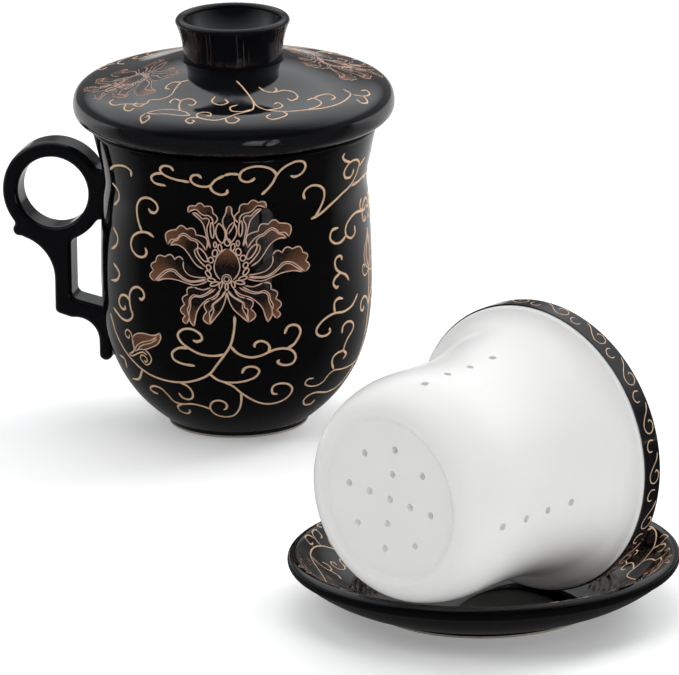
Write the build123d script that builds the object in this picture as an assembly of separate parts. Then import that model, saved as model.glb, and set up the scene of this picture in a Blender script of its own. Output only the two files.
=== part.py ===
from build123d import *
import bisect
import math
import os

# Lidded tea mug with an infuser and a saucer, in millimetres, +Z up.
# The origin is the centre of the mug's foot ring, on the table. The handle points along -X.
# The mug stands with its lid on. The saucer stands beside it and carries the infuser, which lies on its side.

# Mug
mug_height = 99.4
mouth_radius = 45.5
mouth_flare = 14.0  # how far the outside leans out at the lip, in degrees
waist_radius = 42.4
waist_height = 77.2
belly_radius = 43.4
belly_height = 46.5
hip_radius = 40.1
hip_height = 24.0
flank_radius = 33.1
flank_height = 11.4
foot_radius = 22.8
foot_height = 1.8
foot_width = 3.4
foot_recess = 2.4
foot_taper = 0.6  # how far each side of the foot ring leans in towards the table
mug_wall = 3.2
floor_height = 7.0
floor_radius = 20.5

# Handle: a finger ring, and a stem below it that ends in a heel and a tail on the wall
ring_reach = 59.2  # from the mug's axis to the middle of the finger hole
ring_height = 73.6
ring_radius = 16.7
finger_hole_radius = 11.6
handle_depth = 11.0
handle_rounding = 1.8
bridge_height = 17.0  # where the ring runs into the wall
stem_outer = 59.2
stem_inner = 53.6
neck_start = 44.6  # where the stem's outer side starts to sweep out to the spur
heel_top = 38.8
heel_bottom = 33.5
heel_slope = 3.2
underside_start = 24.6  # where the tail's outer side sweeps out to the heel
tail_reach = 1.4  # from the mug's belly to the outer side of the tail
tail_thickness = 4.2
tail_bottom = 18.2
tail_parting = 27.0  # below this height the tail hangs free of the wall
spur_reach = 2.8
spur_angle = 229.0  # round the ring, from the side nearest to the mug
spur_rounding = 2.1
hollow_rounding = 2.4
corner_rounding = 1.95

# Lid
lid_overhang = 5.9
lid_edge_height = 5.8  # from the mug's lip to the widest part of the lid
dome_height = 14.6  # from the widest part to the knob
shoulder_share = 0.78  # where the dome turns down, as a share of the lid's radius
shoulder_height = 8.0
lid_wall = 4.0
flange_depth = 5.0
flange_width = 3.0
flange_clearance = 2.2
flange_chamfer = 0.8
seat_margin = 0.8  # how far the lid's flat seat runs past the mug's lip
seat_clearance = 0.3

# Knob
knob_neck_radius = 15.8
knob_lip_radius = 18.3
knob_height = 13.6
knob_wall = 3.0
knob_floor = 2.6
knob_ledge = 1.0  # how far the dome's top runs past the knob's neck

# Infuser, measured downwards from the collar's rim
infuser_height = 76.0
collar_height = 8.0
collar_inset = 0.6  # from the mug's mouth to the outside of the collar
collar_step = 0.5
collar_wall = 3.4
shoulder_thickness = 1.2
shoulder_edge = 0.6  # the bevel under the shoulder's edge
bell_start = 36.0  # above the infuser's base
bell_middle = 56.5
bell_gain = 2.4
basket_clearance = 4.2  # from the inside of the mug's waist
basket_wall = 2.6
basket_taper = 1.6
basket_rounding = 7.0
base_ridge_radius = 26.4
base_ridge_width = 3.6
base_edge_height = 0.35
base_recess = 1.2
drain_radius = 1.15
drain_circle = 16.0
drain_inner_circle = 8.0
side_columns = 4
side_rows = 4
side_row_pitch = 10.6
first_row_height = 12.5

# Saucer
saucer_radius = 60.0
saucer_height = 17.5
saucer_wall = 4.2
lip_radius = 1.9
well_radius = 32.0
well_height = 6.0
ridge_count = 3
ridge_pitch = 3.1
ridge_height = 0.7
ridge_profile = ((0.3, ridge_height), (0.5, ridge_height), (0.8, 0.0), (1.0, 0.0))  # share of the pitch, rise
slope_sag = 1.7  # how far the rim's slope sags below a straight line
saucer_foot_radius = 34.8
saucer_foot_width = 3.6
saucer_foot_height = 2.2
saucer_foot_taper = 0.5
under_bend_radius = 46.2  # where the underside turns up towards the lip
under_bend_height = 5.4

# Where the saucer stands, and how the infuser lies on it
saucer_x = 120.0
saucer_y = -177.0
infuser_heading = 63.0  # the way the mouth points, from +X
infuser_roll = 8.0
rim_past_centre = 14.0  # from the saucer's centre, along the heading, to the collar's rim
infuser_aside = 14.0  # how far the infuser lies to the right of the saucer's centre
rest_gap = 0.3

# Worked out from the sizes above
lip_lean = math.radians(mouth_flare)
mouth_inner_radius = mouth_radius - mug_wall * math.cos(lip_lean)
lid_radius = mouth_radius + lid_overhang
lid_seat_height = mug_height + seat_clearance
lid_edge_level = lid_seat_height + lid_edge_height
knob_level = lid_edge_level + dome_height
flange_radius = mouth_inner_radius - flange_clearance
collar_radius = mouth_radius - collar_inset
collar_inner_radius = collar_radius - collar_wall
basket_radius = waist_radius - mug_wall - basket_clearance
basket_inner_radius = basket_radius - basket_wall
basket_height = infuser_height - collar_height
slope_start = well_radius + ridge_count * ridge_pitch
slope_end = saucer_radius - 2 * lip_radius


def revolved(outline):
    """A solid of revolution about Z from a closed outline in the XZ plane."""
    return revolve(make_face(outline), Axis.Z)


def mug_outside():
    """The bell-shaped outside of the mug, from the top of the foot ring to the lip."""
    lip_rounding = mug_wall / 2
    return Spline(
        (foot_radius, 0, foot_height),
        (flank_radius, 0, flank_height),
        (hip_radius, 0, hip_height),
        (belly_radius, 0, belly_height),
        (waist_radius, 0, waist_height),
        (mouth_radius, 0, mug_height - lip_rounding * (1 + math.sin(lip_lean))),
        tangents=((1, 0, 0.75), (math.sin(lip_lean), 0, math.cos(lip_lean))),
    )


def mug_inside():
    """The inside of the mug, from the floor's edge to the lip, a wall's thickness from the outside."""
    outside = mug_outside()
    points = [(floor_radius, 0, floor_height)]
    for step in range(2, 13):
        rise = outside % (step / 12)
        points.append(outside @ (step / 12) + mug_wall * Vector(-rise.Z, 0, rise.X))
    return Spline(*points, tangents=((1, 0, 0.2), outside % 1))


def make_mug_body():
    outside = mug_outside()
    inside = mug_inside()
    lip_middle = (outside @ 1 + inside @ 1) / 2
    lip = ThreePointArc(outside @ 1, (lip_middle.X, 0, mug_height), inside @ 1)
    floor = Line(inside @ 0, (0, 0, floor_height))
    axis = Line((0, 0, floor_height), (0, 0, foot_recess))
    foot = Polyline(
        (0, 0, foot_recess),
        (foot_radius - foot_width - foot_taper, 0, foot_recess),
        (foot_radius - foot_width, 0, 0),
        (foot_radius - foot_taper, 0, 0),
        outside @ 0,
    )
    return revolved(outside + lip + inside + floor + axis + foot)


def mug_outer_form():
    """The mug without its hollow, which trims what is stuck to its wall."""
    outside = mug_outside()
    rest = Polyline(
        outside @ 1,
        (0, 0, mug_height),
        (0, 0, foot_height),
        outside @ 0,
    )
    return revolved(outside + rest)


def spur_middle():
    """The middle of the small rounded spur on the ring's lower outer side."""
    turn = math.radians(spur_angle)
    radius = ring_radius + spur_reach - spur_rounding
    return Vector(-ring_reach + radius * math.cos(turn), ring_height + radius * math.sin(turn))


def handle_stem():
    """The stem under the ring: a neck that sweeps out to the spur, a square heel and a tail with a free end."""
    in_wall = belly_radius - mug_wall
    tail_outer = belly_radius + tail_reach
    lobe_radius = tail_thickness / 2
    lobe_level = tail_bottom + lobe_radius
    spur_underside = spur_middle() - Vector(0, spur_rounding)
    inner_side = Polyline(
        (-ring_reach, ring_height),
        (-stem_inner, ring_height),
        (-stem_inner, heel_top),
        (-in_wall, heel_top - heel_slope),
        (-in_wall, tail_parting),
        (-tail_outer + tail_thickness, lobe_level),
        (-tail_outer, lobe_level),
        (-tail_outer, underside_start),
    )
    underside = TangentArc(inner_side @ 1, (-stem_inner, heel_bottom - 0.5 * heel_slope), tangent=(0, 1))
    heel = Polyline(underside @ 1, (-stem_outer, heel_bottom), (-stem_outer, neck_start))
    sweep = TangentArc(heel @ 1, spur_underside, tangent=(0, 1))
    top = Line(spur_underside, (-ring_reach, ring_height))
    lobe = Pos(-tail_outer + lobe_radius, lobe_level) * Circle(lobe_radius)
    return make_face(inner_side + underside + heel + sweep + top) + lobe


def soften(face, hollow_radius, corner_radius):
    """The outline with its hollows and then its corners rounded."""
    filled = offset(face, amount=hollow_radius, kind=Kind.ARC)
    shrunk = offset(filled, amount=-hollow_radius - corner_radius, kind=Kind.ARC)
    return offset(shrunk, amount=corner_radius, kind=Kind.ARC)


def make_mug_handle():
    centre = Pos(-ring_reach, ring_height)
    bridge_reach = ring_reach - belly_radius + mug_wall
    bridge = Pos(-ring_reach + bridge_reach / 2, ring_height) * Rectangle(bridge_reach, bridge_height)
    outline = soften(centre * Circle(ring_radius) + bridge + handle_stem(), hollow_rounding, corner_rounding)
    spur = Pos(spur_middle()) * Circle(spur_rounding)
    outline = soften(outline + spur, 0.8 * spur_rounding, corner_rounding)
    plate = extrude(outline, handle_depth / 2, both=True)
    plate -= extrude(centre * Circle(finger_hole_radius), handle_depth, both=True)
    flats = [face for face in plate.faces() if abs(abs(face.normal_at().Z) - 1) < 1e-6]
    rounded = fillet([edge for face in flats for edge in face.edges()], handle_rounding)
    return Rot(90, 0, 0) * rounded - mug_outer_form()


def make_lid_dome():
    shoulder_radius = shoulder_share * lid_radius
    dome = Spline(
        (knob_neck_radius + knob_ledge, 0, knob_level),
        (shoulder_radius, 0, lid_edge_level + shoulder_height),
        (lid_radius, 0, lid_edge_level),
        tangents=((1, 0, -0.16), (0, 0, -1)),
    )
    under_edge = Spline(
        dome @ 1,
        (mouth_radius + seat_margin, 0, lid_seat_height),
        tangents=((0, 0, -1), (-1, 0, -0.35)),
    )
    inner_flange = flange_radius - flange_width
    flange_bottom = lid_seat_height - flange_depth
    flange = Polyline(
        under_edge @ 1,
        (flange_radius, 0, lid_seat_height),
        (flange_radius, 0, flange_bottom + flange_chamfer),
        (flange_radius - flange_chamfer, 0, flange_bottom),
        (inner_flange + flange_chamfer, 0, flange_bottom),
        (inner_flange, 0, flange_bottom + flange_chamfer),
        (inner_flange, 0, lid_seat_height),
    )
    ceiling = Spline(
        flange @ 1,
        (shoulder_radius - 1.6 * lid_wall, 0, lid_edge_level + shoulder_height - lid_wall),
        (0, 0, knob_level - lid_wall),
        tangents=((0, 0, 1), (-1, 0, 0)),
    )
    top = Polyline(ceiling @ 1, (0, 0, knob_level), dome @ 0)
    return revolved(dome + under_edge + flange + ceiling + top)


def make_lid_knob():
    lip_level = knob_level + knob_height
    inner_lip = knob_lip_radius - knob_wall
    outside = TangentArc(
        (knob_neck_radius, 0, knob_level),
        (knob_lip_radius, 0, lip_level - knob_wall / 2),
        tangent=(0, 0, 1),
    )
    lip = ThreePointArc(
        outside @ 1,
        (knob_lip_radius - knob_wall / 2, 0, lip_level),
        (inner_lip, 0, lip_level - knob_wall / 2),
    )
    cup = TangentArc((0, 0, knob_level + knob_floor), lip @ 1, tangent=(1, 0, 0))
    base = Polyline(cup @ 0, (0, 0, knob_level), outside @ 0)
    return revolved(outside + lip + cup + base)


def drains():
    """Cutters for the holes in the base and in four columns up the wall, in the infuser's own frame."""
    through = 2 * base_recess + 2 * basket_wall
    base_hole = Cylinder(drain_radius, 2 * through)
    cutters = [base_hole]
    cutters += [loc * base_hole for loc in PolarLocations(drain_inner_circle, side_columns)]
    cutters += [loc * base_hole for loc in PolarLocations(drain_circle, 2 * side_columns)]
    wall_hole = Rot(0, 90, 0) * Cylinder(drain_radius, 4 * basket_wall)
    for row in range(side_rows):
        level = first_row_height + row * side_row_pitch
        for column in PolarLocations(basket_radius - basket_wall / 2, side_columns):
            cutters.append(Pos(0, 0, level) * column * wall_hole)
    return cutters


def basket_outside():
    """The outside of the strainer cup: its rounded base, its wall and the trumpet shoulder's underside."""
    cup = Spline(
        (base_ridge_radius + 0.4 * base_ridge_width, 0, base_edge_height),
        (basket_radius - basket_taper, 0, basket_rounding),
        (basket_radius, 0, bell_start),
        tangents=((1, 0, 0.3), (0, 0, 1)),
    )
    bell = Spline(
        cup @ 1,
        (basket_radius + bell_gain, 0, bell_middle),
        (collar_radius - collar_step - shoulder_edge, 0, basket_height - shoulder_thickness),
        tangents=((0, 0, 1), (1, 0, 0.25)),
    )
    return cup, bell


def make_infuser_basket():
    """White strainer cup, in the infuser's own frame: its base on Z = 0 and its mouth upwards."""
    shoulder_radius = collar_radius - collar_step
    floor_level = base_recess + basket_wall
    cup, bell = basket_outside()
    edge = Polyline(
        bell @ 1,
        (shoulder_radius, 0, basket_height - shoulder_thickness + 0.8 * shoulder_edge),
        (shoulder_radius, 0, basket_height),
        (collar_inner_radius, 0, basket_height),
    )
    bell_inside = Spline(
        edge @ 1,
        (basket_inner_radius + bell_gain, 0, bell_middle + 0.4 * basket_wall),
        (basket_inner_radius, 0, bell_start),
        tangents=((-0.5, 0, -1), (0, 0, -1)),
    )
    cup_inside = Spline(
        bell_inside @ 1,
        (basket_inner_radius - basket_taper, 0, basket_rounding + basket_wall),
        (base_ridge_radius - base_ridge_width, 0, floor_level),
        tangents=((0, 0, -1), (-1, 0, -0.1)),
    )
    bottom = Polyline(
        cup_inside @ 1,
        (0, 0, floor_level),
        (0, 0, base_recess),
        (base_ridge_radius - 0.6 * base_ridge_width, 0, base_recess),
    )
    ridge = Spline(
        bottom @ 1,
        (base_ridge_radius, 0, 0),
        cup @ 0,
        tangents=((1, 0, -0.6), (1, 0, 0.3)),
    )
    return revolved(cup + bell + edge + bell_inside + cup_inside + bottom + ridge) - drains()


def make_infuser_collar():
    """Black band above the shoulder, in the infuser's own frame."""
    low = basket_height
    high = infuser_height
    wall = collar_radius - collar_inner_radius
    side = Line((collar_radius, 0, low), (collar_radius, 0, high - wall / 2))
    rim = ThreePointArc(
        side @ 1,
        (collar_radius - wall / 2, 0, high),
        (collar_inner_radius, 0, high - wall / 2),
    )
    back = Polyline(rim @ 1, (collar_inner_radius, 0, low), side @ 0)
    return revolved(side + rim + back)


def saucer_upper_curves():
    """The ridges round the well, the rim's sagging slope and the rolled lip, from the inside out."""
    ridge_points = [(well_radius, 0, well_height)]
    for ridge in range(ridge_count):
        start = well_radius + ridge * ridge_pitch
        for share, rise in ridge_profile:
            ridge_points.append((start + share * ridge_pitch, 0, well_height + rise))
    del ridge_points[-2]  # the last ridge falls straight out to the slope
    ridges = Polyline(*ridge_points)
    slope_top = saucer_height - 0.4 * lip_radius
    slope = ThreePointArc(
        ridges @ 1,
        ((slope_start + slope_end) / 2, 0, (well_height + slope_top) / 2 - slope_sag),
        (slope_end, 0, slope_top),
    )
    over = TangentArc(slope @ 1, (saucer_radius, 0, saucer_height - lip_radius), tangent=slope % 1)
    return ridges, slope, over


def make_saucer():
    ridges, slope, over = saucer_upper_curves()
    lip_bottom = (slope_end + lip_radius, 0, saucer_height - 1.1 * saucer_wall)
    roll = TangentArc(over @ 1, lip_bottom, tangent=over % 1)
    under = ThreePointArc(
        lip_bottom,
        (under_bend_radius, 0, under_bend_height),
        (saucer_foot_radius, 0, saucer_foot_height),
    )
    inner_foot = saucer_foot_radius - saucer_foot_width
    foot = Polyline(
        under @ 1,
        (saucer_foot_radius - saucer_foot_taper, 0, 0),
        (inner_foot, 0, 0),
        (inner_foot - saucer_foot_taper, 0, saucer_foot_height),
        (0, 0, saucer_foot_height),
        (0, 0, well_height),
        (well_radius, 0, well_height),
    )
    return Pos(saucer_x, saucer_y, 0) * revolved(ridges + slope + over + roll + under + foot)


def saucer_top_points():
    """Radii and heights along the saucer's upper surface, out to its edge."""
    radii, heights = [0.0], [well_height]
    for curve in saucer_upper_curves():
        for step in range(25):
            point = curve @ (step / 24)
            if point.X > radii[-1]:
                radii.append(point.X)
                heights.append(point.Z)
    return radii, heights


def height_over(saucer_top, radius):
    """Height of the saucer's upper surface at a radius."""
    radii, heights = saucer_top
    above = bisect.bisect_left(radii, radius)
    if above == 0:
        return heights[0]
    share = (radius - radii[above - 1]) / (radii[above] - radii[above - 1])
    return heights[above - 1] + share * (heights[above] - heights[above - 1])


def clearance(rings, tilt, saucer_top):
    """The least gap under rings of the lying infuser, with the middle of its rim at height 0."""
    least = math.inf
    for radius, back in rings:
        for degrees in range(-60, 61, 2):
            side = infuser_aside + radius * math.sin(math.radians(degrees))
            down = radius * math.cos(math.radians(degrees))
            along = rim_past_centre - back * math.cos(tilt) + down * math.sin(tilt)
            height = -back * math.sin(tilt) - down * math.cos(tilt)
            reach = math.hypot(along, side)
            if reach < saucer_radius:
                least = min(least, height - height_over(saucer_top, reach))
    return least


def settle_infuser():
    """The tilt, and the height of the middle of the rim, at which both ends rest on the saucer."""
    saucer_top = saucer_top_points()
    collar = [(collar_radius, collar_wall / 2), (collar_radius, collar_height)]
    cup, _ = basket_outside()
    basket = []
    for step in range(4, 41):
        point = cup @ (step / 40)
        basket.append((point.X, infuser_height - point.Z))
    low, high = math.radians(-15), math.radians(25)
    for _ in range(24):
        tilt = (low + high) / 2
        if clearance(collar, tilt, saucer_top) < clearance(basket, tilt, saucer_top):
            low = tilt
        else:
            high = tilt
    return tilt, rest_gap - clearance(collar, tilt, saucer_top)


def infuser_place():
    """From the infuser's own frame to where it lies on the saucer."""
    tilt, rim_height = settle_infuser()
    on_saucer = Pos(rim_past_centre, -infuser_aside, rim_height) * Rot(0, 90 - math.degrees(tilt), 0)
    own = Rot(0, 0, infuser_roll) * Pos(0, 0, -infuser_height)
    return Pos(saucer_x, saucer_y, 0) * Rot(0, 0, infuser_heading) * on_saucer * own


lying = infuser_place()
parts = {
    "mug_body": make_mug_body(),
    "mug_handle": make_mug_handle(),
    "lid_dome": make_lid_dome(),
    "lid_knob": make_lid_knob(),
    "infuser_basket": lying * make_infuser_basket(),
    "infuser_collar": lying * make_infuser_collar(),
    "saucer": make_saucer(),
}

os.makedirs("parts", exist_ok=True)
for node, shape in parts.items():
    export_step(shape, f"parts/{node}.step")
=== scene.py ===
import math

import bpy
import numpy as np
from mathutils import Matrix, Vector
from mathutils.bvhtree import BVHTree


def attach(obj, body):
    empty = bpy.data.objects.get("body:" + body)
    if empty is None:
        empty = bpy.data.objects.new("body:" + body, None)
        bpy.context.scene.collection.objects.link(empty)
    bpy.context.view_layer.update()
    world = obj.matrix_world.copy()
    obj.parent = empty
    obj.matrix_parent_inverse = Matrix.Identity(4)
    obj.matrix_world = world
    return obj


# Lidded tea mug with an infuser and a saucer: glazes, gilt line work, light and camera.
# Lengths are in metres, except for the drawings and what places them, which are in millimetres.
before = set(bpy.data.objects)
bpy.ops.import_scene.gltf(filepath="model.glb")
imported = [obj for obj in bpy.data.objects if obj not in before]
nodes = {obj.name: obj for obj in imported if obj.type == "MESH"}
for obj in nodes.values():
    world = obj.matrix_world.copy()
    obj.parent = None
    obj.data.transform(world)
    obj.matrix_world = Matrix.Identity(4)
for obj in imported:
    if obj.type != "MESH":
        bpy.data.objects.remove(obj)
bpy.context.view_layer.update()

MM = 0.001

# Camera
IMAGE_WIDTH = 679  # in pixels
AIM = Vector((0.0326, 0.0043, 0.0274))
CAMERA_DISTANCE = 3.85
AZIMUTH = math.radians(13.36)  # how far round from -Y towards +X the camera stands
ELEVATION = math.radians(16.5)
ROLL = math.radians(-0.79)
FOCAL_PIXELS = 12000  # the focal length, in pixels of the picture
SENSOR_WIDTH = 36.0  # in millimetres
VIEW_END = 50

# The room. The glazes show it darker low down than it lights the set.
ROOM_COLOUR = (0.97, 0.985, 1.0, 1)
ROOM_BEHIND = 1.0  # its brightness behind the set
ROOM_IN_FRONT = 0.045  # its brightness on the camera's side
ROOM_CHANGE = (-0.35, 0.6)  # where it changes between them: a direction's part towards the camera
LOW_ROOM = 0.18  # what share of it the glazes show low down
LOW_ROOM_CHANGE = (0.26, 0.50)  # where that share grows to all of it: a direction's part upwards

# The floor. Places on it are measured from the mug's axis towards the camera.
FLOOR_SIZE = 30
FLOOR_LEVEL = -0.0004
FLOOR_WHITES = ((0.85, 0.85, 0.85), (0.87, 0.87, 0.87))
FLOOR_ROUGHNESS = 0.7
FLOOR_GLOW = 0.25  # added to what the camera sees of it
WHITE_LIGHT = (1, 1, 1, 1)
# The floor's painted reflection: a glow that glossy rays see instead of its lit white
FLOOR_CHANGE = (0.04, -0.22)  # where the glazes show it growing brighter, away from the camera
FLOOR_LEVELS = (0.05, 0.72)  # how bright they show it before and after that
FLOOR_FADE = (-0.5, -4.0)  # where it fades again, down to a share of LOW_ROOM

# Lamps: name, place, aim, size and power in watts
LAMPS = (
    ("key", (-0.9, -1.2, 1.5), (0.05, -0.05, 0.05), (0.9, 0.9), 9.6),
    ("fill", (1.4, -0.9, 0.9), (0.05, -0.1, 0.05), (0.8, 1.0), 5),
    ("top", (-0.1, 0.3, 1.7), (0.05, -0.05, 0.05), (1.2, 1.2), 8),
    ("low", (0.45, -0.75, 0.12), (0.15, -0.20, 0.03), (0.5, 0.16), 0.8),
    ("mouth", (0.38, 0.30, 0.32), (0.13, -0.18, 0.05), (0.25, 0.25), 1.5),
)

# Finishes. Colours come in pairs, and a cloudy noise runs between the two.
GLAZE_BLACKS = ((0.0025, 0.0028, 0.0035), (0.0060, 0.0064, 0.0075))  # handle, lid, knob and collar
SHADED_BLACKS = ((0.0007, 0.0008, 0.0009), (0.0021, 0.0022, 0.0024))  # mug and saucer: a darker copy of the same glaze, painted shade
WHITES = ((0.845, 0.842, 0.825), (0.885, 0.882, 0.865))
CLAYS = ((0.50, 0.45, 0.38), (0.64, 0.59, 0.51))
CLAY_ROUGHNESS = 0.85
GILTS = ((0.66, 0.42, 0.25), (0.90, 0.62, 0.42))
ROSE_GILTS = ((0.60, 0.38, 0.28), (0.84, 0.58, 0.46))
PETAL_BLACK = (0.004, 0.004, 0.005)
PETAL_BROWN = (0.20, 0.085, 0.040)
GLAZE_IOR = 1.48
LID_IOR = 1.8  # a stronger gloss, which makes the lid's top paler
NOISE_RANGE = (0.3, 0.7)  # where nearly all of a noise's values lie

# Where the glazes end
WALL_FACES_IN = -0.35  # on the mug's inner wall, the normal's part away from the axis is below this
FLOOR_FACES_UP = 0.5  # on its floor, the normal's part upwards is above this
MUG_FLOOR_TOP = 0.030  # below this height, what faces up in the mug is its floor
MUG_FOOT_TOP = 0.0045
FOOT_GLAZE_START = 0.0007
COLLAR_INSIDE = 0.0433  # from the infuser's axis

# --- From here on in millimetres and degrees: lines, and how the drawings lie on the set ---

VINE = 0.40  # half the width of a vine
FINE = 0.235  # half the width of an outline
LID_VINE = 0.66 * VINE
LID_FINE = 0.64 * FINE
SAUCER_VINE = 0.50 * VINE
SAUCER_FINE = 0.52 * FINE
COLLAR_VINE = 0.43 * VINE
LINE_FLATNESS = 0.3  # a line's height over its half width
LINE_ENDS = (0.45, 1.08, 1.25, 1.2, 1.1)  # a line's width over its usual one, from its end point inwards
PATCH_THICKNESS = 0.09
PATCH_OFFSET = 0.2  # Solidify's offset: a little more than half of a patch stands above the glaze
MERGE_DISTANCE = 0.01

# How far the brown of a shaded patch reaches, as a share of the patch's length
FRILL_REACH = 0.75
PETAL_REACH = 0.45
BUD_REACH = 0.6
SPIKE_REACH = 0.35
LEAF_REACH = 1.3

MUG_SIDE = (2.5, 98.8)  # heights between which the wall is measured
MUG_REFERENCE = 43.0  # the radius at which the drawing keeps its width
LOTUS_ASIDE = -2.9  # from the mug's axis to the eye
EYE_HEIGHT = 59.0
DIP_AT_FOOT = 16.0  # how far down the front drawing is looked at
DIP_AT_LIP = 7.5
NEARNESS = 0.03  # how much larger than at the mug's sides the drawing is at the front
DRAWING_RISE = 0.965  # how much of its height the drawing keeps on the mug
NEAR_LIP = 28.0  # from here up the drawing is closed up, to end below the lip
NEAR_LIP_RISE = 0.83
FITTING_ROUNDS = 3

LID_TOP = (50.5, 17.5)  # radii between which the dome is measured
LID_LOTUS_SCALE = 0.62
LID_LOTUS_RADIUS = 30.0
LID_LOTUS_TURN = -75.0

SAUCER_CENTRE = (120.0, -177.0)
SAUCER_RIM = (58.6, 40.5)  # radii between which the rim is measured
SAUCER_MIDWAY = 50.0
SAUCER_FLOWERS = (-12.0, 93.0, 198.0)  # where the rim's lotuses sit
SAUCER_LOTUS_SCALE = 0.34
SAUCER_LOTUS_RADIUS = 48.5

INFUSER_BASE = (104.33, -238.60, 51.16)  # the middle of the infuser's underside
INFUSER_HEADING = 63.0  # where its axis points, from +X
COLLAR_RADIUS = 44.9
COLLAR_LEVELS = (68.0, 71.0, 74.3)  # along the infuser's axis, from its underside
COLLAR_REPEATS = 18

SIDE_RAY_START = 200.0
TOP_RAY_START = 300.0

# --- Drawn patterns on a flat board ---

# The lotus: the left half is drawn, and the right half is its mirror image, a little wider and
# tilted up. Its origin is the eye at the foot of the bud. A petal has a scalloped edge, given by
# its notches from the tip inwards, the stalk that the edge runs into, the edge's fold, and the
# two sides of the petal below the fold.
LOBE_BULGE = 0.38  # how far a lobe stands out, as a share of the way between its notches
LOTUS_LEAN = math.radians(2.8)  # of the bud and the spike above it
LOTUS_WIDTH = 0.97
LOTUS_HEIGHT = 1.07
RIGHT_WIDER = 1.08
RIGHT_SPREAD = 0.008  # how much wider still, for each millimetre below the eye
RIGHT_TILT = 0.115
PETALS = (
    (
        ((-12.6, 22.4), (-10.1, 24.6), (-7.1, 24.5), (-4.3, 22.3), (-4.1, 18.6)),
        (),
        ((-12.6, 22.4), (-11.4, 23.2), (-9.8, 23.5), (-8.4, 22.2), (-7.3, 21.6), (-5.7, 21.5),
         (-4.6, 20.6), (-4.1, 18.6)),
        ((-11.2, 22.2), (-10.0, 22.2), (-8.7, 21.2), (-7.8, 20.3), (-6.6, 20.6), (-5.6, 20.0),
         (-5.8, 18.9), (-6.3, 17.8), (-6.4, 16.2), (-5.9, 13.3), (-5.3, 10.5)),
        ((-11.2, 22.2), (-9.1, 20.5), (-7.6, 18.7), (-6.9, 16.2), (-6.1, 12.6), (-5.3, 10.5)),
    ),
    (
        ((-19.6, 11.4), (-16.6, 16.5), (-13.2, 16.7), (-10.1, 14.9), (-6.8, 9.8)),
        (),
        ((-19.6, 11.4), (-18.4, 13.1), (-16.6, 13.4), (-15.7, 14.6), (-14.3, 15.4), (-12.8, 14.8),
         (-11.8, 13.9), (-10.3, 13.5), (-8.9, 12.6), (-7.6, 11.2), (-6.8, 9.8)),
        ((-18.8, 11.2), (-17.5, 12.6), (-16.4, 12.9), (-15.5, 14.0), (-14.3, 14.7), (-13.0, 14.1),
         (-12.0, 13.2), (-10.5, 12.8), (-9.5, 11.7), (-9.8, 10.5), (-10.6, 9.8), (-10.3, 8.0),
         (-8.7, 5.8), (-6.9, 4.0)),
        ((-18.8, 11.2), (-16.6, 11.5), (-14.4, 10.5), (-12.8, 8.7), (-11.4, 6.5), (-9.8, 4.6),
         (-7.6, 3.4)),
    ),
    (
        ((-24.3, -1.1), (-24.5, 2.4), (-23.7, 5.4), (-20.6, 7.1), (-17.4, 6.4), (-14.4, 6.1)),
        ((-14.4, 6.1), (-14.5, 4.0), (-13.7, 2.3), (-12.3, 1.2), (-9.8, 0.6), (-6.9, 0.5)),
        ((-24.2, -1.1), (-22.6, 0.8), (-20.9, 2.4), (-19.3, 3.1), (-17.5, 3.0), (-15.9, 1.5),
         (-14.1, 0.1), (-11.9, -0.6), (-9.4, -0.4), (-6.9, 0.1)),
        ((-23.5, -1.1), (-21.6, 0.8), (-19.4, 2.4), (-17.8, 2.3), (-16.4, 1.1), (-14.4, -0.4),
         (-11.9, -1.1), (-9.1, -0.8), (-6.8, -0.3)),
        ((-23.5, -1.1), (-20.9, -0.2), (-17.3, -0.3), (-13.7, -1.3), (-10.9, -2.0), (-8.4, -1.5),
         (-6.4, -0.6)),
    ),
    (
        ((-13.8, -15.2), (-14.1, -12.5), (-14.2, -8.6), (-13.2, -5.3), (-11.2, -2.8)),
        ((-11.2, -2.8), (-9.4, -3.3), (-8.0, -3.6), (-5.5, -2.9)),
        ((-13.8, -15.2), (-12.8, -13.1), (-13.4, -10.6), (-12.8, -8.8), (-12.6, -6.7), (-11.4, -5.4),
         (-9.1, -5.6), (-6.6, -4.5), (-4.8, -3.1)),
        ((-11.3, -16.0), (-12.5, -14.2), (-12.8, -11.7), (-12.2, -9.2), (-12.1, -7.0), (-11.0, -6.0),
         (-8.7, -6.1), (-6.2, -5.1), (-3.7, -3.3)),
        ((-11.3, -16.0), (-10.8, -13.8), (-10.3, -11.3), (-9.1, -9.2), (-6.9, -7.0), (-4.1, -5.6),
         (-1.9, -3.1)),
    ),
    (
        ((-6.0, -15.3), (-6.8, -11.0), (-5.5, -7.2)),
        ((-5.5, -7.2), (-3.4, -6.0), (-2.3, -3.3)),
        ((-6.0, -15.3), (-5.9, -12.8), (-6.0, -11.0), (-5.1, -10.2), (-5.1, -8.8), (-3.7, -7.4),
         (-1.9, -6.0), (-0.5, -3.8)),
        ((-6.0, -15.3), (-5.3, -12.8), (-4.4, -10.3), (-4.6, -8.8), (-3.0, -7.4), (-1.2, -5.6),
         (-0.2, -3.8)),
        ((-6.0, -15.3), (-4.1, -13.1), (-1.9, -10.3), (-0.7, -7.4), (0.0, -4.2)),
    ),
)
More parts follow.
